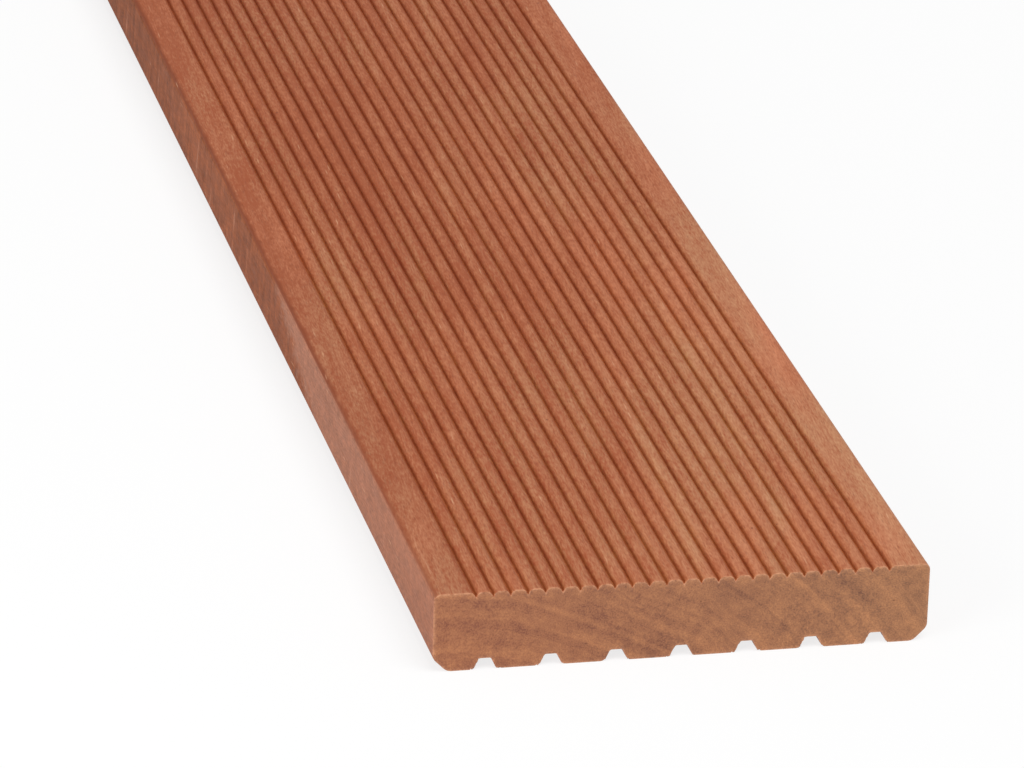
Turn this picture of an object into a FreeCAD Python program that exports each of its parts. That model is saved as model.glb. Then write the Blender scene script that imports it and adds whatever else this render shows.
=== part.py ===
"""Hardwood decking board, planed from one length of timber.

The board lies flat with its fine-ribbed walking face up (+Z) and its coarse ventilation grooves down.
X runs across the board, Y along it, and the origin is at the middle of the underside.
All sizes are in millimetres, and angles in degrees.
"""

import math
import os

import FreeCAD
import Part
import Sketcher
from FreeCAD import Placement, Rotation, Vector

DRIVING_SIZES = [
    ("board_length", 1830.0, "shortest stock length, six feet"),
    ("board_width", 145.0, "planed width"),
    ("board_thickness", 24.0, "planed thickness over the ribs"),
    ("top_edge_radius", 2.0, "eased long edges of the walking face"),
    ("bottom_edge_bevel", 4.2, "bevelled long edges of the underside"),
    ("bevel_rounding", 3.0, "rounding where a bevel meets the side and the underside"),
    ("rib_pitch", 5.04, "spacing of the fine grooves, so the width of a rib and its groove"),
    ("rib_margin", 11.6, "least distance from the board's side to a fine groove's centre"),
    ("rib_depth", 1.45, "depth of a fine groove"),
    ("rib_flank_angle", 24.0, "lean of a fine groove's flank from upright"),
    ("rib_lip_radius", 1.6, "rounding of a rib's shoulders"),
    ("rib_root_radius", 0.15, "rounding in the corners of a fine groove"),
    ("rib_root_flat", 0.12, "flat at the bottom of a fine groove"),
    ("vent_pitch", 19.1, "spacing of the ventilation grooves"),
    ("vent_margin", 14.0, "least distance from the board's side to a ventilation groove's centre"),
    ("vent_depth", 3.4, "depth of a ventilation groove"),
    ("vent_flank_angle", 26.0, "lean of a ventilation groove's flank from upright"),
    ("vent_lip_radius", 0.9, "rounding where a ventilation groove meets the underside"),
    ("vent_root_radius", 0.7, "rounding in the corners of a ventilation groove"),
    ("vent_root_flat", 2.6, "flat at the top of a ventilation groove"),
    ("cutter_headroom", 1.0, "how far a cutter's profile stands out of the face that it enters"),
]

SAME_PLACE = 1e-6


def make_sheet(doc):
    """The sheet that drives the model: one named cell for each size."""
    sheet = doc.addObject("Spreadsheet::Sheet", "sizes")
    for row, (alias, value, meaning) in enumerate(DRIVING_SIZES, start=1):
        sheet.set(f"A{row}", meaning)
        sheet.set(f"B{row}", str(value))
        sheet.setAlias(f"B{row}", alias)
    doc.recompute()
    return sheet


def origin_feature(body, role):
    """One of the body's own origin planes or axes, by its role."""
    return next(feature for feature in body.Origin.OriginFeatures if feature.Role == role)


def section_sketch(body, name):
    """An empty sketch on the board's cross-section: its x is X and its y is Z."""
    sketch = body.newObject("Sketcher::SketchObject", name)
    sketch.AttachmentSupport = [(origin_feature(body, "XZ_Plane"), "")]
    sketch.MapMode = "FlatFace"
    return sketch


def constrain(sketch, kind, *where):
    sketch.addConstraint(Sketcher.Constraint(kind, *where))


def dimension(sketch, name, expression, kind, *where):
    """Adds a dimension, whose starting value is the last of where, and ties it to the sheet."""
    index = sketch.addConstraint(Sketcher.Constraint(kind, *where))
    sketch.renameConstraint(index, name)
    sketch.setExpression(f"Constraints.{name}", expression)


def planed_blank(body, sheet):
    """The plain board before its grooves: a rectangle centred across the board, carried along its length."""
    half_width = sheet.board_width / 2
    thickness = sheet.board_thickness
    corners = [
        Vector(-half_width, 0, 0),
        Vector(half_width, 0, 0),
        Vector(half_width, thickness, 0),
        Vector(-half_width, thickness, 0),
    ]
    sketch = section_sketch(body, "blank_section")
    for start, end in zip(corners, corners[1:] + corners[:1]):
        sketch.addGeometry(Part.LineSegment(start, end), False)
    under, right, top, left = range(4)
    for line, following in ((under, right), (right, top), (top, left), (left, under)):
        constrain(sketch, "Coincident", line, 2, following, 1)
    constrain(sketch, "Vertical", right)
    constrain(sketch, "Vertical", left)
    constrain(sketch, "Horizontal", top)
    constrain(sketch, "Symmetric", under, 1, under, 2, -1, 1)
    dimension(sketch, "width", "sizes.board_width", "DistanceX", under, 1, under, 2, sheet.board_width)
    dimension(sketch, "thickness", "sizes.board_thickness", "DistanceY", right, 1, right, 2, thickness)

    blank = body.newObject("PartDesign::Pad", "blank")
    blank.Profile = sketch
    blank.SideType = "Symmetric"
    blank.setExpression("Length", "sizes.board_length")
    body.Document.recompute()


def long_edges(shape, from_middle, height):
    """Names of the two edges that run along the board, at that distance from its middle and that height."""
    names = []
    for number, edge in enumerate(shape.Edges, start=1):
        start, end = (vertex.Point for vertex in edge.Vertexes)
        runs_along = abs(start.x - end.x) < SAME_PLACE and abs(start.z - end.z) < SAME_PLACE
        in_place = abs(abs(start.x) - from_middle) < SAME_PLACE and abs(start.z - height) < SAME_PLACE
        if runs_along and in_place:
            names.append(f"Edge{number}")
    return names


def ease_edges(body, sheet):
    """Rounds the long edges of the walking face, and bevels those of the underside with soft corners."""
    half_width = sheet.board_width / 2
    blank = body.Tip
    rounding = body.newObject("PartDesign::Fillet", "eased_top_edges")
    rounding.Base = (blank, long_edges(blank.Shape, half_width, sheet.board_thickness))
    rounding.setExpression("Radius", "sizes.top_edge_radius")
    body.Document.recompute()

    bevel = body.newObject("PartDesign::Chamfer", "bevelled_bottom_edges")
    bevel.Base = (rounding, long_edges(rounding.Shape, half_width, 0.0))
    bevel.setExpression("Size", "sizes.bottom_edge_bevel")
    body.Document.recompute()

    at_side = long_edges(bevel.Shape, half_width, sheet.bottom_edge_bevel)
    at_foot = long_edges(bevel.Shape, half_width - sheet.bottom_edge_bevel, 0.0)
    softening = body.newObject("PartDesign::Fillet", "softened_bevels")
    softening.Base = (bevel, at_side + at_foot)
    softening.setExpression("Radius", "sizes.bevel_rounding")
    body.Document.recompute()


def arc(centre, radius, start, end):
    return Part.ArcOfCircle(Part.Circle(centre, Vector(0, 0, 1), radius), start, end)


def groove_sketch(body, sheet, kind):
    """One groove's cutter profile, about the sketch's y axis: y = 0 is the face, and the wood is below it.

    A flat root turns by a concave corner into a straight flank, which a convex lip blends into the face.
    """
    depth = getattr(sheet, f"{kind}_depth")
    flank = math.radians(getattr(sheet, f"{kind}_flank_angle"))
    lip_radius = getattr(sheet, f"{kind}_lip_radius")
    root_radius = getattr(sheet, f"{kind}_root_radius")
    half_flat = getattr(sheet, f"{kind}_root_flat") / 2
    headroom = sheet.cutter_headroom

    cos, sin = math.cos(flank), math.sin(flank)
    run = (depth - (lip_radius + root_radius) * (1 - sin)) / cos
    corner = Vector(half_flat, root_radius - depth, 0)
    low = corner + Vector(root_radius * cos, -root_radius * sin, 0)
    high = low + Vector(run * sin, run * cos, 0)
    shoulder = high + Vector(lip_radius * cos, -lip_radius * sin, 0)

    def mirrored(point):
        return Vector(-point.x, point.y, 0)

    up, down, level = math.pi / 2, -math.pi / 2, math.pi
    outline = [
        Part.LineSegment(Vector(-half_flat, -depth, 0), Vector(half_flat, -depth, 0)),
        arc(corner, root_radius, down, -flank),
        Part.LineSegment(low, high),
        arc(shoulder, lip_radius, up, level - flank),
        Part.LineSegment(Vector(shoulder.x, 0, 0), Vector(shoulder.x, headroom, 0)),
        Part.LineSegment(Vector(shoulder.x, headroom, 0), Vector(-shoulder.x, headroom, 0)),
        Part.LineSegment(Vector(-shoulder.x, headroom, 0), Vector(-shoulder.x, 0, 0)),
        arc(mirrored(shoulder), lip_radius, flank, up),
        Part.LineSegment(mirrored(low), mirrored(high)),
        arc(mirrored(corner), root_radius, level + flank, level + up),
    ]
    sketch = section_sketch(body, f"{kind}_groove_profile")
    for piece in outline:
        sketch.addGeometry(piece, False)
    root, corner_r, flank_r, lip_r, wall_r, lid, wall_l, lip_l, flank_l, corner_l = range(len(outline))

    constrain(sketch, "Tangent", root, 2, corner_r, 1)
    constrain(sketch, "Tangent", corner_r, 2, flank_r, 1)
    constrain(sketch, "Tangent", flank_r, 2, lip_r, 2)
    constrain(sketch, "Coincident", lip_r, 1, wall_r, 1)
    constrain(sketch, "Coincident", wall_r, 2, lid, 1)
    constrain(sketch, "Coincident", lid, 2, wall_l, 1)
    constrain(sketch, "Coincident", wall_l, 2, lip_l, 2)
    constrain(sketch, "Tangent", lip_l, 1, flank_l, 2)
    constrain(sketch, "Tangent", flank_l, 1, corner_l, 1)
    constrain(sketch, "Tangent", corner_l, 2, root, 1)
    constrain(sketch, "Vertical", wall_r)
    constrain(sketch, "Vertical", wall_l)
    constrain(sketch, "Horizontal", lid)
    constrain(sketch, "Vertical", lip_r, 1, lip_r, 3)
    constrain(sketch, "Vertical", lip_l, 2, lip_l, 3)
    constrain(sketch, "PointOnObject", lip_r, 1, -1)
    constrain(sketch, "PointOnObject", lip_l, 2, -1)
    constrain(sketch, "Symmetric", root, 1, root, 2, -2)
    constrain(sketch, "Equal", corner_r, corner_l)
    constrain(sketch, "Equal", lip_r, lip_l)
    dimension(sketch, "root_flat", f"sizes.{kind}_root_flat", "DistanceX", root, 1, root, 2, 2 * half_flat)
    dimension(sketch, "depth", f"sizes.{kind}_depth", "DistanceY", root, 2, -1, 1, depth)
    dimension(sketch, "root_radius", f"sizes.{kind}_root_radius", "Radius", corner_r, root_radius)
    dimension(sketch, "lip_radius", f"sizes.{kind}_lip_radius", "Radius", lip_r, lip_radius)
    dimension(sketch, "flank_r", f"(90 - sizes.{kind}_flank_angle) * 1 deg", "Angle", flank_r, up - flank)
    dimension(sketch, "flank_l", f"(90 + sizes.{kind}_flank_angle) * 1 deg", "Angle", flank_l, up + flank)
    dimension(sketch, "headroom", "sizes.cutter_headroom", "DistanceY", wall_r, 1, wall_r, 2, headroom)
    return sketch


def mill_grooves(body, sheet, kind, face_height, turned):
    """Cuts one groove the whole length of the board, then repeats it across the board, centred.

    The number of grooves is as many as fit between the two margins at their pitch.
    """
    doc = body.Document
    wood_before = body.Tip.Shape.Volume
    spaces = f"floor((sizes.board_width - 2 * sizes.{kind}_margin) / sizes.{kind}_pitch)"
    sketch = groove_sketch(body, sheet, kind)
    sketch.AttachmentOffset = Placement(Vector(0, 0, 0), Rotation(Vector(0, 0, 1), turned))
    sketch.setExpression("AttachmentOffset.Base.x", f"-{spaces} * sizes.{kind}_pitch / 2")
    sketch.setExpression("AttachmentOffset.Base.y", face_height)
    doc.recompute()

    cut = body.newObject("PartDesign::Pocket", f"{kind}_groove")
    cut.Profile = sketch
    cut.Type = "ThroughAll"
    cut.SideType = "Symmetric"
    doc.recompute()
    one_groove = wood_before - cut.Shape.Volume

    row = body.newObject("PartDesign::LinearPattern", f"{kind}_grooves")
    row.Originals = [cut]
    row.Direction = (origin_feature(body, "X_Axis"), [""])
    row.setExpression("Occurrences", f"{spaces} + 1")
    row.setExpression("Length", f"{spaces} * sizes.{kind}_pitch")
    body.Tip = row
    doc.recompute()

    all_grooves = wood_before - row.Shape.Volume
    if one_groove <= 0 or all_grooves < (row.Occurrences - 1) * one_groove:
        raise RuntimeError(f"{row.Occurrences} {kind} grooves took out only {all_grooves:.0f} mm3")
    print(f"{kind}: {row.Occurrences} grooves, {one_groove / sheet.board_length:.3f} mm2 each")


def decking_board(doc, sheet):
    """The whole board, one piece of timber."""
    body = doc.addObject("PartDesign::Body", "decking_board")
    body.Label = "decking_board"
    planed_blank(body, sheet)
    ease_edges(body, sheet)
    mill_grooves(body, sheet, "rib", "sizes.board_thickness", turned=0)
    mill_grooves(body, sheet, "vent", "0", turned=180)
    return body


def check(doc, subparts):
    """Stops if any object failed to build, or a sub-part isn't one valid closed solid."""
    for item in doc.Objects:
        if {"Invalid", "Error"} & set(item.State):
            raise RuntimeError(f"{item.Name} failed to build: {item.State}")
    for item in subparts:
        if item.Shape.isNull() or not item.Shape.isValid() or len(item.Shape.Solids) != 1:
            raise RuntimeError(f"{item.Label} isn't one valid solid")


doc = FreeCAD.newDocument("decking_board")
sheet = make_sheet(doc)
subparts = [decking_board(doc, sheet)]
doc.recompute()
check(doc, subparts)
os.makedirs("parts", exist_ok=True)
for item in subparts:
    item.Shape.exportStep(f"parts/{item.Label}.step")
    box = item.Shape.BoundBox
    print(f"{item.Label}: {box.XLength:.2f} x {box.YLength:.2f} x {box.ZLength:.2f} mm")
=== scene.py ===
import math

import bpy
import numpy as np
from mathutils import Matrix, Vector


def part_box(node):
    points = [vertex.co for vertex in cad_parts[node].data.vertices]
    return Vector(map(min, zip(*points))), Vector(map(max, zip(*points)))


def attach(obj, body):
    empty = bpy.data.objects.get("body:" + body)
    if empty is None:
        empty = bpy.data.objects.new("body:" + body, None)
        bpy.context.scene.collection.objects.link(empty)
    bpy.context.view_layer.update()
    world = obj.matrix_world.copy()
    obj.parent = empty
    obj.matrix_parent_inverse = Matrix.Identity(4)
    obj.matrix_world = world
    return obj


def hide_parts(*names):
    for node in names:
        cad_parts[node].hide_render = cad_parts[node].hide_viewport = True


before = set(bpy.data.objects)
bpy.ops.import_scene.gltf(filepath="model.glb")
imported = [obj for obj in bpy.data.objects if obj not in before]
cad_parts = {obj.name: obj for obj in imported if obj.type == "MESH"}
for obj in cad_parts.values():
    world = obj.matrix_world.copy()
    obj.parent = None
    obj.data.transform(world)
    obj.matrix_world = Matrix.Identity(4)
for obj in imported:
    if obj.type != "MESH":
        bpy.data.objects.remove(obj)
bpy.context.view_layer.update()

# The board: one length of dense red-brown tropical hardwood, planed all round and sawn square at both ends.
# A profile cutter milled fine rounded ribs into the walking face, and broad ventilation grooves underneath.
# It is centred on x and y and lies on the floor, so the highest corner of its solid gives its sizes.
MM = 0.001
HALF_WIDTH, HALF_LENGTH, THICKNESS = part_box("decking_board")[1]
TOP_EDGE_RADIUS = 2.0 * MM
BEVEL, BEVEL_ROUNDING = 4.2 * MM, 3.0 * MM
RIB_PITCH, RIB_COUNT = 5.04 * MM, 25
VENT_PITCH, VENT_COUNT = 19.1 * MM, 7
RIB_GROOVE = dict(depth=1.45 * MM, flank=math.radians(24), lip=1.6 * MM, root=0.15 * MM, flat=0.12 * MM)
VENT_GROOVE = dict(depth=3.4 * MM, flank=math.radians(26), lip=0.9 * MM, root=0.7 * MM, flat=2.6 * MM)
QUARTER_TURN, EIGHTH_TURN = math.pi / 2, math.pi / 4


def groove_marks(depth, flank, lip, root, flat):
    """Distances from a groove's centre line where its corner, straight flank and rounded lip begin and end.

    The flank's run is the depth less what the two arcs take of it, over the cosine of its lean.
    """
    run = (depth - (lip + root) * (1 - math.sin(flank))) / math.cos(flank)
    corner = flat / 2
    low = corner + root * math.cos(flank)
    high = low + run * math.sin(flank)
    return corner, low, high, high + lip * math.cos(flank)


def groove_fall(distance, depth, flank, lip, root, flat):
    """How far a milled groove lies below its face at a distance from its centre line.

    Flat root, then a rounded corner, a straight flank at its lean, and a rounded lip that ends level.
    """
    corner, low, high, rim = groove_marks(depth, flank, lip, root, flat)
    d = np.abs(distance)
    in_corner = depth - root + np.sqrt(np.maximum(root**2 - (d - corner) ** 2, 0))
    at_low = depth - root + root * math.sin(flank)
    on_flank = at_low - (d - low) / math.tan(flank)
    on_lip = lip - np.sqrt(np.maximum(lip**2 - (rim - d) ** 2, 0))
    return np.select([d <= corner, d <= low, d <= high, d <= rim], [depth, in_corner, on_flank, on_lip], 0.0)


def nearest_groove(x, pitch, count):
    """Signed distance from x to the nearest groove of an evenly spaced row, which is centred on x = 0.

    The nearest one's number is the distance from the first, counted in pitches and rounded.
    """
    first = -(count - 1) / 2 * pitch
    number = np.clip(np.round((x - first) / pitch), 0, count - 1)
    return x - (first + number * pitch)


def walking_face(x):
    """Height of the upper face: level, less the fine grooves, and rounded off to the sides."""
    over = np.maximum(np.abs(x) - (HALF_WIDTH - TOP_EDGE_RADIUS), 0)
    rounding = TOP_EDGE_RADIUS - np.sqrt(np.maximum(TOP_EDGE_RADIUS**2 - over**2, 0))
    return THICKNESS - rounding - groove_fall(nearest_groove(x, RIB_PITCH, RIB_COUNT), **RIB_GROOVE)


def underside(x):
    """Height of the lower face: zero, plus the ventilation grooves, and bevelled up to the sides.

    An eighth of a circle joins the bevel to the level face, and another joins it to the side.
    """
    reach = BEVEL_ROUNDING * math.tan(EIGHTH_TURN / 2)
    u = np.abs(x) - (HALF_WIDTH - BEVEL)
    foot = BEVEL_ROUNDING - np.sqrt(np.maximum(BEVEL_ROUNDING**2 - (u + reach) ** 2, 0))
    from_centre = u - BEVEL + BEVEL_ROUNDING
    shoulder = BEVEL + reach - np.sqrt(np.maximum(BEVEL_ROUNDING**2 - from_centre**2, 0))
    slant = reach * math.cos(EIGHTH_TURN)
    bevel = np.select([u <= -reach, u <= slant, u <= BEVEL - slant], [0.0, foot, u], shoulder)
    return bevel + groove_fall(nearest_groove(x, VENT_PITCH, VENT_COUNT), **VENT_GROOVE)


def columns_across(groove, pitch, count, lip_steps, corner_steps):
    """x of the lines that follow one row of grooves.

    Each groove has lines at even angles round its corners and its lips, and one on the crown to each side.
    """
    corner, _, _, rim = groove_marks(**groove)
    turn = np.linspace(QUARTER_TURN, groove["flank"], corner_steps)
    corner_line = corner + groove["root"] * np.cos(turn)
    sweep = np.linspace(0, QUARTER_TURN - groove["flank"], lip_steps)
    lip_line = rim - groove["lip"] * np.sin(sweep)
    half = np.concatenate([corner_line, lip_line, [pitch / 2]])
    centres = (np.arange(count) - (count - 1) / 2) * pitch
    return (centres[:, None] + np.concatenate([-half, half])[None, :]).ravel()


# Lines across the board follow the grooves and go round the long edges. Those that all but meet are one.
CLOSEST_LINES = 0.03 * MM
edge_turn = np.linspace(0, QUARTER_TURN, 8)
foot_turn = np.linspace(0, EIGHTH_TURN, 4)
shoulder_turn = np.linspace(EIGHTH_TURN, QUARTER_TURN, 5)
edge_line = HALF_WIDTH - TOP_EDGE_RADIUS * (1 - np.sin(edge_turn))
foot_line = HALF_WIDTH - BEVEL + BEVEL_ROUNDING * (np.sin(foot_turn) - math.tan(EIGHTH_TURN / 2))
shoulder_line = HALF_WIDTH - BEVEL_ROUNDING * (1 - np.sin(shoulder_turn))
side_lines = np.concatenate([edge_line, foot_line, shoulder_line])
across = np.concatenate([
    columns_across(RIB_GROOVE, RIB_PITCH, RIB_COUNT, lip_steps=7, corner_steps=3),
    columns_across(VENT_GROOVE, VENT_PITCH, VENT_COUNT, lip_steps=4, corner_steps=3),
    side_lines,
    -side_lines,
])
across = np.sort(across[np.abs(across) <= HALF_WIDTH])
across = across[np.concatenate([[True], np.diff(across) > CLOSEST_LINES])]
across[0], across[-1] = -HALF_WIDTH, HALF_WIDTH

# Stations along the board crowd towards the saw cuts, and shares of its height towards the two faces.
MIDDLE_START, MIDDLE_COUNT = 60 * MM, 25
from_cut = np.array([0, 0.1, 0.25, 0.5, 0.9, 1.4, 2.0, 2.8, 4, 6, 10, 18, 32]) * MM
middle = np.linspace(MIDDLE_START - HALF_LENGTH, HALF_LENGTH - MIDDLE_START, MIDDLE_COUNT)
along = np.concatenate([from_cut - HALF_LENGTH, middle, HALF_LENGTH - from_cut[::-1]])
up = np.array([0, 0.012, 0.03, 0.06, 0.15, 0.32, 0.5, 0.68, 0.85, 0.94, 0.97, 0.988, 1])

# A surface lattice: column across, station along, and share of the height between the two faces.
# Only the lattice's outer points are kept, numbered in order, so that the six sides share their edges.
lattice = (len(across), len(along), len(up))
last_i, last_j, last_k = (count - 1 for count in lattice)
i, j, k = np.indices(lattice)
outer = np.isin(i, (0, last_i)) | np.isin(j, (0, last_j)) | np.isin(k, (0, last_k))
number = np.full(lattice, -1)
number[outer] = np.arange(outer.sum())
i, j, k = i[outer], j[outer], k[outer]
x, y, share = across[i], along[j], up[k]

# The saw leaves the arrises a little soft and torn, and chips a few lips of the ventilation grooves.
# Its cut is ragged by a fraction of a millimetre round each end's outline, where short fibres stand up.
ARRIS, ARRIS_REACH = 0.14 * MM, 0.3 * MM
CHIP, CHIP_REACH, CHIP_SPREAD = 0.5 * MM, 1.2 * MM, 1.3 * MM
RAG, RAG_REACH = 0.16 * MM, 0.15 * MM
FRINGE_ON_END, FRINGE_ON_FACE = 0.34 * MM, 0.25 * MM
chance = np.random.default_rng(29)
from_end = HALF_LENGTH - np.abs(y)
which_end = (y > 0).astype(int)
soft = ARRIS * np.clip(1 - from_end / ARRIS_REACH, 0, 1) ** 2
torn = chance.random((lattice[0], 2))[i, which_end]
flank_end = groove_marks(**VENT_GROOVE)[2]
from_vent = np.abs(nearest_groove(across, VENT_PITCH, VENT_COUNT))
at_lip = np.abs(from_vent - flank_end) < CHIP_SPREAD
chip_size = np.where(at_lip, CHIP * chance.random((2, lattice[0])) ** 3, 0)[which_end, i]
chip = chip_size * np.exp(-from_end / CHIP_REACH)
top = walking_face(x) - soft * (0.6 + 0.8 * torn)
bottom = underside(x) + soft + chip
z = bottom + share * (top - bottom)
inside = np.minimum(np.minimum(top - z, z - bottom), HALF_WIDTH - np.abs(x))
x = x * (1 - soft / HALF_WIDTH)
rag = RAG * torn * np.exp(-inside / RAG_REACH) * np.isin(j, (0, last_j))
y = y - np.sign(y) * rag
fringe = np.exp(-inside / FRINGE_ON_END) * np.exp(-from_end / FRINGE_ON_FACE)


def quads(sheet, flip):
    """Four corners of each cell of a sheet of point numbers, turned so that the face looks outwards."""
    a, b, c, d = sheet[:-1, :-1], sheet[1:, :-1], sheet[1:, 1:], sheet[:-1, 1:]
    corners = np.stack([a, d, c, b] if flip else [a, b, c, d], -1)
    return corners.reshape(-1, 4)


faces = np.concatenate([
    quads(number[:, :, -1], False),
    quads(number[:, :, 0], True),
    quads(number[0], True),
    quads(number[-1], False),
    quads(number[:, 0, :], False),
    quads(number[:, -1, :], True),
])
board_mesh = bpy.data.meshes.new("decking_board_milled")
board_mesh.from_pydata(np.stack([x, y, z], -1), [], faces)
board_mesh.attributes.new("fringe", "FLOAT", "POINT").data.foreach_set("value", fringe.astype(np.float32))
board_mesh.polygons.foreach_set("use_smooth", np.ones(len(faces), bool))


def unrolled(u, v, flip):
    """Places of a sheet's cells on the flat, corner by corner in the order that quads gives."""
    cells = quads(np.arange(u.size).reshape(u.shape), flip)
    return np.stack([u.ravel()[cells], v.ravel()[cells]], -1).reshape(-1, 2)


# The surface unrolled: both faces and both sides are strips as long as the board, one above the other,
# with the two ends beside each other on top. Along the fibres it is drawn at about a quarter of the scale
# across them, because the grain runs that way.
GAP = 2 * MM
strip_along = (along + HALF_LENGTH + GAP) / (2 * HALF_LENGTH + 2 * GAP)
sheets = []
height = GAP
for profile, flip in ((walking_face(across), False), (underside(across), True)):
    run = np.concatenate([[0], np.cumsum(np.hypot(np.diff(across), np.diff(profile)))])
    sheets.append((*np.meshgrid(height + run, strip_along, indexing="ij"), flip))
    height += run[-1] + GAP
for flip in (True, False):
    rise = up * (walking_face(HALF_WIDTH) - underside(HALF_WIDTH))
    sheets.append((*np.meshgrid(height + rise, strip_along), flip))
    height += rise[-1] + GAP
end_low = underside(across)[:, None]
end_up = height + end_low + up * (walking_face(across)[:, None] - end_low)
height += THICKNESS + GAP
for start, flip in ((GAP, False), (2 * HALF_WIDTH + 2 * GAP, True)):
    end_along = (start + HALF_WIDTH + across[:, None] + 0 * up) / height
    sheets.append((end_up, end_along, flip))
places = np.concatenate([unrolled(u, v / height, flip) for v, u, flip in sheets])
board_mesh.uv_layers.new(name="OFBake").uv.foreach_set("vector", places.astype(np.float32).ravel())
SHARPEST_SMOOTH = math.radians(32)
board_mesh.set_sharp_from_angle(angle=SHARPEST_SMOOTH)
board = bpy.data.objects.new("decking_board_milled", board_mesh)
bpy.context.scene.collection.objects.link(board)


def linear(code):
    """An sRGB hex colour as linear red, green, blue and alpha."""
    parts = [int(code[n:n + 2], 16) / 255 for n in (1, 3, 5)]
    return [p / 12.92 if p <= 0.04045 else ((p + 0.055) / 1.055) ** 2.4 for p in parts] + [1.0]


def add(tree, kind, wired, out=0, **settings):
    """Adds a node with its settings and gives one of its outputs.

    wired holds its inputs, each a plain value or an output to link.
    """
    made = tree.nodes.new("ShaderNode" + kind)
    for name, value in settings.items():
        setattr(made, name, value)
    for name, value in wired.items():
        if isinstance(value, bpy.types.NodeSocket):
            tree.links.new(value, made.inputs[name])
        else:
            made.inputs[name].default_value = value
    return made.outputs[out]


# Planed tropical hardwood, unoiled: close reddish grain with fine streaks along it and soft broad clouds.
# On the sawn ends the same fibres show as pore dots, with faint growth layers that curve across.
hardwood = bpy.data.materials.new("planed_red_hardwood")
hardwood.use_nodes = True
wood = hardwood.node_tree
wood.nodes.clear()
place = add(wood, "TexCoord", {}, "Object")
px = add(wood, "SeparateXYZ", {"Vector": place}, "X")
py = add(wood, "SeparateXYZ", {"Vector": place}, "Y")
pz = add(wood, "SeparateXYZ", {"Vector": place}, "Z")

# Sockets of a mix of two colours: the second one's share, the two colours, and the result.
SHARE, FROM, TO, MIXED = 0, 6, 7, 2

# Which surface a point is on: a sawn end, a planed side, or the ribbed part of the walking face.
END_FACING = 0.7
SKIN, SKIN_FADE = HALF_WIDTH - 0.35 * MM, 0.15 * MM
RIBBED = (RIB_COUNT - 1) / 2 * RIB_PITCH + 2 * MM
RIBS_FOOT = THICKNESS - 1.5 * MM
facing = add(wood, "SeparateXYZ", {"Vector": add(wood, "NewGeometry", {}, "True Normal")}, "Y")
facing = add(wood, "Math", {0: facing}, operation="ABSOLUTE")
on_end = add(wood, "Math", {0: facing, 1: END_FACING}, operation="GREATER_THAN")
off_end = add(wood, "Math", {0: 1.0, 1: on_end}, operation="SUBTRACT")
from_middle = add(wood, "Math", {0: px}, operation="ABSOLUTE")
on_side = add(wood, "MapRange", {"Value": from_middle, "From Min": SKIN, "From Max": SKIN + SKIN_FADE})
on_side = add(wood, "Math", {0: on_side, 1: off_end}, operation="MULTIPLY")
in_ribs = add(wood, "Math", {0: from_middle, 1: RIBBED}, operation="LESS_THAN")
in_ribs = add(wood, "Math", {0: in_ribs, 1: off_end}, operation="MULTIPLY")
high_up = add(wood, "Math", {0: pz, 1: RIBS_FOOT}, operation="GREATER_THAN")
in_ribs = add(wood, "Math", {0: in_ribs, 1: high_up}, operation="MULTIPLY")

FIBRE_LEAN = -3.0


def grain(size, detail, lean=FIBRE_LEAN, kind="Fac"):
    """Noise stretched along the fibres.

    size is one patch's width, length and height in mm, and lean its slant to the board in degrees.
    """
    stretched = add(wood, "Mapping", {"Vector": fibre, "Rotation": (0, 0, math.radians(lean)),
                                      "Scale": [s * MM for s in size]}, vector_type="TEXTURE")
    noise = {"Vector": stretched, "Scale": 1.0, "Detail": detail, "Roughness": 0.6}
    return add(wood, "TexNoise", noise, kind)


def blend(parts, middle):
    """A sum of noises set around a middle value.

    Each noise is taken about its own mean of a half, and times its own weight.
    """
    total = middle - sum(weight for noise, weight in parts) / 2
    for noise, weight in parts:
        total = add(wood, "Math", {0: noise, 1: weight, 2: total}, operation="MULTIPLY_ADD")
    return total


def from_near_end(distance):
    """y of a place on the board, a distance in mm from its near end."""
    return distance * MM - HALF_LENGTH


# Fibres wander a few millimetres to each side, over about a hand's length.
# Streaks are as wide as a bundle of fibres. The speckle is drawn coarser than real fibres, to show.
WANDER = 9 * MM
fibre = place
wander = grain((40, 260, 40), 2.0, 0.0, "Color")
wander = add(wood, "VectorMath", {0: wander, 1: (0.5, 0.5, 0.5)}, operation="SUBTRACT")
wander = add(wood, "VectorMath", {0: wander, 1: (WANDER, 0, WANDER)}, operation="MULTIPLY")
fibre = add(wood, "VectorMath", {0: place, 1: wander}, operation="ADD")
cloud = grain((36, 180, 36), 3.0, -9.0)
hue = grain((22, 120, 22), 2.0, -6.0)
band = grain((4.5, 260, 4.5), 2.0)
streak = grain((0.8, 24, 0.8), 3.0)
mottle = grain((3.5, 7, 3.5), 2.0)
speckle = grain((0.45, 2.8, 0.45), 2.0)

# Growth layers lie around a heart that was below the board and left of it, and change slowly along it.
TO_HEART = (70 * MM, 0, 85 * MM)
LAYER_WIDTH = 6 * MM
ALONG_LAYERS = 0.012
heart = add(wood, "VectorMath", {0: fibre, 1: TO_HEART}, operation="ADD")
heart = add(wood, "VectorMath", {0: heart, 1: (1, ALONG_LAYERS, 1)}, operation="MULTIPLY")
radius = add(wood, "VectorMath", {0: heart}, "Value", operation="LENGTH")
radius = add(wood, "Math", {0: radius, 1: LAYER_WIDTH}, operation="DIVIDE")
layer = add(wood, "TexNoise", {"W": radius, "Scale": 1.0, "Detail": 3.0, "Roughness": 0.7},
            noise_dimensions="1D")

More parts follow.
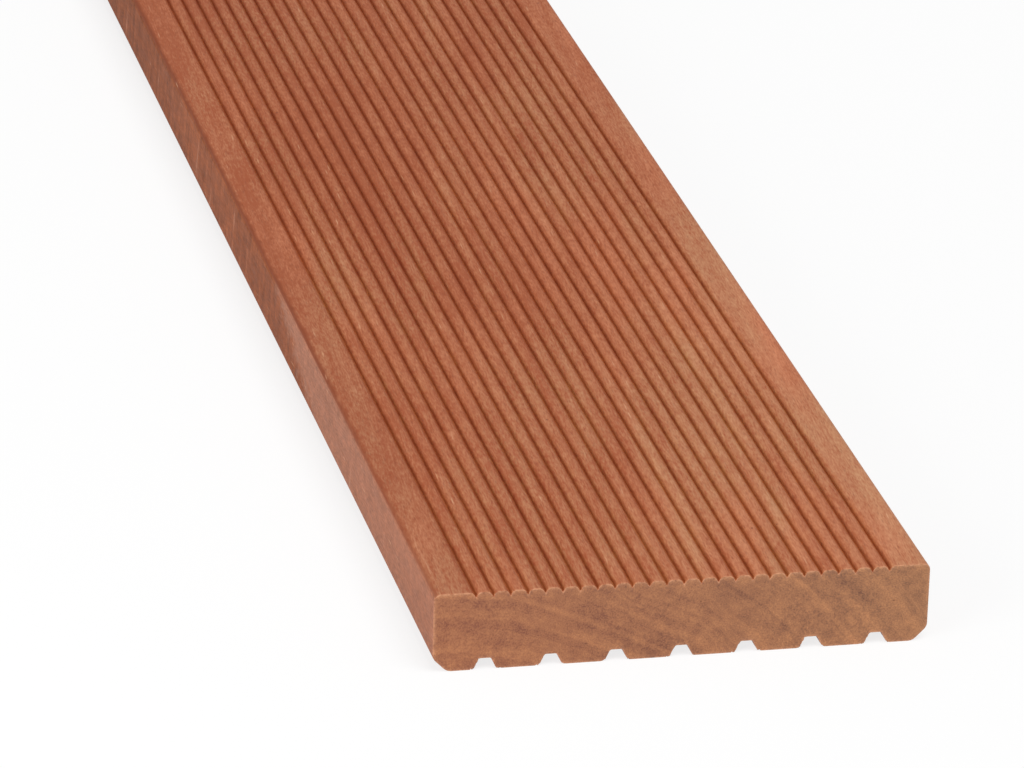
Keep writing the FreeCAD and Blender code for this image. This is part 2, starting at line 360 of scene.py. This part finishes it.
# More pigment makes the wood darker and redder at once, so one tone runs from deep to pale.
# It is paler towards the right, redder away from the near end, and browner at that end.
FAR_PIGMENT = 0.36
tone = blend([(cloud, 1.8), (band, 1.4), (streak, 1.0), (mottle, 1.0), (speckle, 2.9), (layer, 0.4)], 0.62)
paler = add(wood, "MapRange", {"Value": px, "From Min": -HALF_WIDTH, "From Max": HALF_WIDTH,
                               "To Min": -0.3, "To Max": 0.3})
tone = add(wood, "Math", {0: tone, 1: paler}, operation="ADD")
redder = add(wood, "MapRange", {"Value": py, "From Min": from_near_end(180), "From Max": from_near_end(330),
                                "To Max": FAR_PIGMENT})
tone = add(wood, "Math", {0: tone, 1: redder}, operation="SUBTRACT")
tone = add(wood, "Math", {0: tone, 1: -0.15, 2: 0.4}, operation="SMOOTH_MAX")
hue = add(wood, "MapRange", {"Value": hue, "From Min": 0.38, "From Max": 0.62})
browner = add(wood, "MapRange", {"Value": py, "From Min": from_near_end(80), "From Max": from_near_end(180),
                                 "To Min": 0.35, "To Max": 0})
hue = add(wood, "Math", {0: hue, 1: browner}, operation="ADD")
pale = add(wood, "Mix", {SHARE: hue, FROM: linear("#BE724E"), TO: linear("#B97A55")}, MIXED, data_type="RGBA")
colour = add(wood, "Mix", {SHARE: tone, FROM: linear("#A55835"), TO: pale}, MIXED,
             data_type="RGBA", clamp_factor=False)

# The left plain strip is darker near the end.
strip = add(wood, "MapRange", {"Value": px, "From Min": 10 * MM - HALF_WIDTH,
                               "From Max": 12 * MM - HALF_WIDTH, "To Min": -0.2, "To Max": 0})
near_part = add(wood, "Math", {0: FAR_PIGMENT, 1: redder}, operation="SUBTRACT")
left_strip_darkening = add(wood, "Math", {0: strip, 1: near_part, 2: 1.0}, operation="MULTIPLY_ADD")
colour = add(wood, "VectorMath", {0: colour, "Scale": left_strip_darkening}, operation="SCALE")

# The cutter that rounds the left edge leaves a ragged dark red quirk there, worn fainter near the end.
# The last few centimetres have a broken pale lip along it.
RAGGED_BY = 1.2 * MM
LIP_PLACE = 2.8 * MM
inward = add(wood, "Math", {0: px, 1: HALF_WIDTH}, operation="ADD")
inward = add(wood, "Math", {0: mottle, 1: RAGGED_BY, 2: inward}, operation="MULTIPLY_ADD")
quirk = add(wood, "MapRange", {"Value": inward, "From Min": 1.4 * MM, "From Max": 2.5 * MM,
                               "To Min": 0.95, "To Max": 0})
worn = add(wood, "MapRange", {"Value": py, "From Min": from_near_end(90), "From Max": from_near_end(170),
                              "To Min": 0.7, "To Max": 1})
quirk = add(wood, "Math", {0: quirk, 1: worn}, operation="MULTIPLY")
upper = add(wood, "Math", {0: pz, 1: THICKNESS / 2}, operation="GREATER_THAN")
quirk = add(wood, "Math", {0: quirk, 1: upper}, operation="MULTIPLY")
colour = add(wood, "Mix", {SHARE: quirk, FROM: colour, TO: linear("#853F1F")}, MIXED, data_type="RGBA")
beside = add(wood, "Math", {0: inward, 1: LIP_PLACE}, operation="SUBTRACT")
beside = add(wood, "Math", {0: beside}, operation="ABSOLUTE")
beside = add(wood, "MapRange", {"Value": beside, "From Min": 0.1 * MM, "From Max": 0.4 * MM,
                                "To Min": 1, "To Max": 0})
broken = add(wood, "MapRange", {"Value": streak, "From Min": 0.42, "From Max": 0.58, "To Max": 0.4})
last_part = add(wood, "MapRange", {"Value": py, "From Min": from_near_end(25), "From Max": from_near_end(65),
                                   "To Min": 1, "To Max": 0})
pale_lip = add(wood, "Math", {0: broken, 1: last_part}, operation="MULTIPLY")
pale_lip = add(wood, "Math", {0: pale_lip, 1: beside}, operation="MULTIPLY")
colour = add(wood, "Mix", {SHARE: pale_lip, FROM: colour, TO: linear("#CB9270")}, MIXED, data_type="RGBA")

# Sawn end grain is browner and duller, because its open fibre ends drink the light.
# It is yellower towards the right.
end_tone = blend([(layer, 1.8), (cloud, 1.7), (mottle, 1.7), (speckle, 3.0)], 0.5)
end_tone = add(wood, "Math", {0: paler, 1: 0.4, 2: end_tone}, operation="MULTIPLY_ADD")
rightward = add(wood, "MapRange", {"Value": px, "From Min": -HALF_WIDTH, "From Max": HALF_WIDTH})
end_deep = add(wood, "Mix", {SHARE: rightward, FROM: linear("#8B543A"), TO: linear("#845A40")}, MIXED,
               data_type="RGBA")
end_pale = add(wood, "Mix", {SHARE: rightward, FROM: linear("#A66B47"), TO: linear("#A7734E")}, MIXED,
               data_type="RGBA")
end_colour = add(wood, "Mix", {SHARE: end_tone, FROM: end_deep, TO: end_pale}, MIXED,
                 data_type="RGBA", clamp_factor=False)
colour = add(wood, "Mix", {SHARE: on_end, FROM: colour, TO: end_colour}, MIXED, data_type="RGBA")

# The near stretch of a planed side was skimmed twice. It is pinkish and pale, most of all before it ends
# on a slant, and its knife marks are faint. Beyond it the first cut shows, darker, with plain knife marks
# across it. A few pale scuffs lie below the rounded edge.
KNIFE_LEAN = math.radians(17)
KNIFE_MARK = (40 * MM, 3.2 * MM, 26 * MM)
SKIM_SLANT, SKIM_RAGGED = -3.3, 90 * MM
knife = add(wood, "Mapping", {"Vector": place, "Rotation": (KNIFE_LEAN, 0, 0), "Scale": KNIFE_MARK},
            vector_type="TEXTURE")
knife = add(wood, "TexNoise", {"Vector": knife, "Scale": 1.0, "Detail": 3.0})
skimmed = add(wood, "Math", {0: pz, 1: SKIM_SLANT, 2: py}, operation="MULTIPLY_ADD")
skimmed = add(wood, "Math", {0: mottle, 1: SKIM_RAGGED, 2: skimmed}, operation="MULTIPLY_ADD")
first_cut = add(wood, "MapRange", {"Value": skimmed, "From Min": from_near_end(200),
                                   "From Max": from_near_end(224)})
polish = add(wood, "MapRange", {"Value": py, "From Min": from_near_end(20), "From Max": from_near_end(200)})
skin = add(wood, "Mix", {SHARE: polish, FROM: linear("#A06448"), TO: linear("#AC6F53")}, MIXED,
           data_type="RGBA")
patchy = blend([(knife, 3.4), (hue, 0.5), (mottle, 1.4)], 0.5)
rough_skin = add(wood, "Mix", {SHARE: patchy, FROM: linear("#8A451A"), TO: linear("#995128")}, MIXED,
                 data_type="RGBA", clamp_factor=False)
skin = add(wood, "Mix", {SHARE: first_cut, FROM: skin, TO: rough_skin}, MIXED, data_type="RGBA")
skin_tone = blend([(knife, 0.18), (mottle, 0.60), (speckle, 1.0), (cloud, 0.50)], 1.0)
skin = add(wood, "VectorMath", {0: skin, "Scale": skin_tone}, operation="SCALE")
scuff = add(wood, "MapRange", {"Value": knife, "From Min": 0.66, "From Max": 0.78, "To Max": 0.5})
below = add(wood, "MapRange", {"Value": pz, "From Min": 19 * MM, "From Max": 21 * MM,
                               "To Min": 1, "To Max": 0})
scuff = add(wood, "Math", {0: scuff, 1: below}, operation="MULTIPLY")
skin = add(wood, "Mix", {SHARE: scuff, FROM: skin, TO: linear("#C39A84")}, MIXED, data_type="RGBA")
colour = add(wood, "Mix", {SHARE: on_side, FROM: colour, TO: skin}, MIXED, data_type="RGBA")


def scattered(size, chosen, core, edge, strength):
    """Spots stretched along the fibres, one in a cell of a given size in mm, in a chosen share of the cells.

    A spot has its full strength inside its core and fades to nothing at its edge, both in parts of a cell.
    """
    cell = add(wood, "Mapping", {"Vector": fibre, "Rotation": (0, 0, math.radians(FIBRE_LEAN)),
                                 "Scale": [s * MM for s in size]}, vector_type="TEXTURE")
    near = add(wood, "TexVoronoi", {"Vector": cell, "Scale": 1.0}, "Distance")
    lot = add(wood, "TexVoronoi", {"Vector": cell, "Scale": 1.0}, "Color")
    lot = add(wood, "SeparateColor", {"Color": lot}, "Red")
    lot = add(wood, "Math", {0: lot, 1: chosen}, operation="LESS_THAN")
    spot = add(wood, "MapRange", {"Value": near, "From Min": core, "From Max": edge,
                                  "To Min": strength, "To Max": 0})
    return add(wood, "Math", {0: spot, 1: lot}, operation="MULTIPLY")


# Open pores are fine dark dashes along the fibres, and dots on the ends. Drawn coarser than real, to show.
# Some are filled with a pale mineral, and here and there is a dark speck.
pores = scattered((0.8, 5, 0.8), chosen=0.6, core=0.08, edge=0.36, strength=0.30)
colour = add(wood, "Mix", {SHARE: pores, FROM: colour, TO: linear("#6E3822")}, MIXED, data_type="RGBA")
flecks = scattered((1.2, 18, 1.2), chosen=0.45, core=0.06, edge=0.20, strength=0.55)
flecks = add(wood, "Math", {0: flecks, 1: off_end}, operation="MULTIPLY")
gathered = add(wood, "MapRange", {"Value": band, "From Min": 0.47, "From Max": 0.57})
flecks = add(wood, "Math", {0: flecks, 1: gathered}, operation="MULTIPLY")
colour = add(wood, "Mix", {SHARE: flecks, FROM: colour, TO: linear("#E0AC87")}, MIXED, data_type="RGBA")
specks = scattered((9, 13, 9), chosen=0.4, core=0.02, edge=0.05, strength=0.6)
colour = add(wood, "Mix", {SHARE: specks, FROM: colour, TO: linear("#5A2A1A")}, MIXED, data_type="RGBA")

# Painted shade in the fine grooves: their bottoms are painted deep orange-brown, for the light that reaches
# there only after it comes off the groove walls. Where the painted shade begins is ragged along the groove.
RAGGED_SIZE = (1.2 * MM, 7 * MM, 4 * MM)
OFF_WALLS = (0.80, 0.59, 0.31)
ragged = add(wood, "Mapping", {"Vector": place, "Scale": RAGGED_SIZE}, vector_type="TEXTURE")
ragged = add(wood, "TexNoise", {"Vector": ragged, "Scale": 1.0, "Detail": 2.0})
sink = add(wood, "MapRange", {"Value": pz, "From Min": THICKNESS,
                              "From Max": THICKNESS - RIB_GROOVE["depth"]})
sink = add(wood, "Math", {0: sink, 1: 0.25}, operation="SUBTRACT")
sink = add(wood, "Math", {0: ragged, 1: 0.5, 2: sink}, operation="MULTIPLY_ADD")
root = add(wood, "MapRange", {"Value": sink, "From Min": 0.0, "From Max": 0.7})
root = add(wood, "Math", {0: root, 1: 0.75}, operation="POWER")
root = add(wood, "Math", {0: root, 1: in_ribs}, operation="MULTIPLY")
# Painted shade: the colour at the groove bottoms is darkened towards orange-brown by depth.
groove_shaded_colour = add(wood, "VectorMath", {0: colour, 1: OFF_WALLS}, operation="MULTIPLY")
colour = add(wood, "Mix", {SHARE: root, FROM: colour, TO: groove_shaded_colour}, MIXED, data_type="RGBA")

# Sawn arrises: short pale fibres stand up round each end's outline, in tufts.
fray = add(wood, "Attribute", {}, "Fac", attribute_name="fringe")
tuft = grain((0.9, 0.9, 0.9), 1.0)
tuft = add(wood, "MapRange", {"Value": tuft, "From Min": 0.3, "From Max": 0.62,
                              "To Min": 0.1, "To Max": 0.85})
fray = add(wood, "Math", {0: fray, 1: tuft}, operation="MULTIPLY")
colour = add(wood, "Mix", {SHARE: fray, FROM: colour, TO: linear("#CC936F")}, MIXED, data_type="RGBA")

# Fibres stand proud by about a tenth of a millimetre, and pores are open. The streaks differ in sheen,
# and the planed sides are duller than the ribs.
RELIEF = 0.12 * MM
SIDE_DULLER = 0.18
relief = add(wood, "Math", {0: speckle, 1: 0.6, 2: streak}, operation="MULTIPLY_ADD")
relief = add(wood, "Math", {0: relief, 1: pores}, operation="SUBTRACT")
bump = add(wood, "Bump", {"Height": relief, "Strength": 0.3, "Distance": RELIEF})
sheen = add(wood, "MapRange", {"Value": streak, "From Min": 0.3, "From Max": 0.7,
                               "To Min": 0.66, "To Max": 0.50})
sheen = add(wood, "Math", {0: on_side, 1: SIDE_DULLER, 2: sheen}, operation="MULTIPLY_ADD")
surface = add(wood, "BsdfPrincipled", {"Base Color": colour, "Roughness": sheen, "Normal": bump, "IOR": 1.42})
wood.links.new(surface, wood.nodes.new("ShaderNodeOutputMaterial").inputs["Surface"])
board_mesh.materials.append(hardwood)
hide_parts("decking_board")
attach(board, "root")

# The floor: a plain sheet of matt white studio paper, which the board lies on.
# It runs out far past the board on every side, and shows near white while it keeps the board's soft shadow.
FLOOR_REACH = 100.0
WHITENESS = 0.8
floor_mesh = bpy.data.meshes.new("floor")
floor_corners = [(-FLOOR_REACH, -FLOOR_REACH, 0), (FLOOR_REACH, -FLOOR_REACH, 0),
                 (FLOOR_REACH, FLOOR_REACH, 0), (-FLOOR_REACH, FLOOR_REACH, 0)]
floor_mesh.from_pydata(floor_corners, [], [(0, 1, 2, 3)])
floor = bpy.data.objects.new("floor", floor_mesh)
bpy.context.scene.collection.objects.link(floor)
paper = bpy.data.materials.new("white_paper")
paper.use_nodes = True
sheet = paper.node_tree
sheet.nodes.clear()
matt = add(sheet, "BsdfDiffuse", {"Color": linear("#F3F3F3")})
white = add(sheet, "Emission", {"Color": linear("#FFFFFF"), "Strength": 1.0})
seen = 0.0
for ray in ("Is Camera Ray", "Is Glossy Ray", "Is Transmission Ray"):
    is_ray = add(sheet, "LightPath", {}, ray)
    seen = add(sheet, "Math", {0: is_ray, 1: WHITENESS, 2: seen}, operation="MULTIPLY_ADD")
shade = add(sheet, "MixShader", {0: seen, 1: matt, 2: white})
sheet.links.new(shade, sheet.nodes.new("ShaderNodeOutputMaterial").inputs["Surface"])
floor_mesh.materials.append(paper)

# The light: one broad soft lamp high up, to the right of the near end and in front of it, a low fill panel
# on its left, turned to the near end, and an even white room around them.
WINDOW_SIDE = Vector((0.15, -0.35, 0.92))
FILL_PLACE = Vector((-1.1, -HALF_LENGTH - 0.7, 0.45))
FILL_TARGET = Vector((0, -HALF_LENGTH + 0.1, 0))
lamp = bpy.data.lights.new("window", "SUN")
lamp.energy = 2.0
lamp.angle = math.radians(40)
window = bpy.data.objects.new("window", lamp)
window.rotation_euler = WINDOW_SIDE.to_track_quat("Z", "Y").to_euler()
bpy.context.scene.collection.objects.link(window)
lamp = bpy.data.lights.new("left_fill", "AREA")
lamp.energy = 10
lamp.size = 0.8
fill = bpy.data.objects.new("left_fill", lamp)
fill.location = FILL_PLACE
fill.rotation_euler = (FILL_PLACE - FILL_TARGET).to_track_quat("Z", "Y").to_euler()
bpy.context.scene.collection.objects.link(fill)
room = bpy.data.worlds.new("room")
room.use_nodes = True
room.node_tree.nodes["Background"].inputs["Color"].default_value = linear("#FFFFFF")
room.node_tree.nodes["Background"].inputs["Strength"].default_value = 0.34
bpy.context.scene.world = room

# The camera: a long lens, left of the near end and above it, and turned a little about its own line of sight.
# Its frame takes in the near end and about half a metre of the board.
AZIMUTH, ELEVATION, ROLL = (math.radians(angle) for angle in (-13.08, 22.32, 1.75))
FRAME_PIXELS, FOCAL_PIXELS = 1024, 6736
DISTANCE = 1875 * MM
FARTHEST_SEEN = 400.0
target = Vector((-51.9 * MM, -HALF_LENGTH, 87.0 * MM))
back = Vector((
    math.sin(AZIMUTH) * math.cos(ELEVATION),
    -math.cos(AZIMUTH) * math.cos(ELEVATION),
    math.sin(ELEVATION),
))
level = Vector((math.cos(AZIMUTH), math.sin(AZIMUTH), 0))
upright = back.cross(level)
right = math.cos(ROLL) * level + math.sin(ROLL) * upright
above = math.cos(ROLL) * upright - math.sin(ROLL) * level
lens = bpy.data.cameras.new("camera")
lens.sensor_width = 36.0
lens.sensor_fit = "HORIZONTAL"
lens.lens = FOCAL_PIXELS / FRAME_PIXELS * lens.sensor_width
lens.clip_end = FARTHEST_SEEN
camera = bpy.data.objects.new("camera", lens)
turned = Matrix((right, above, back)).transposed().to_4x4()
camera.matrix_world = Matrix.Translation(target + DISTANCE * back) @ turned
bpy.context.scene.collection.objects.link(camera)
bpy.context.scene.camera = camera
bpy.context.scene.view_settings.view_transform = "Standard"
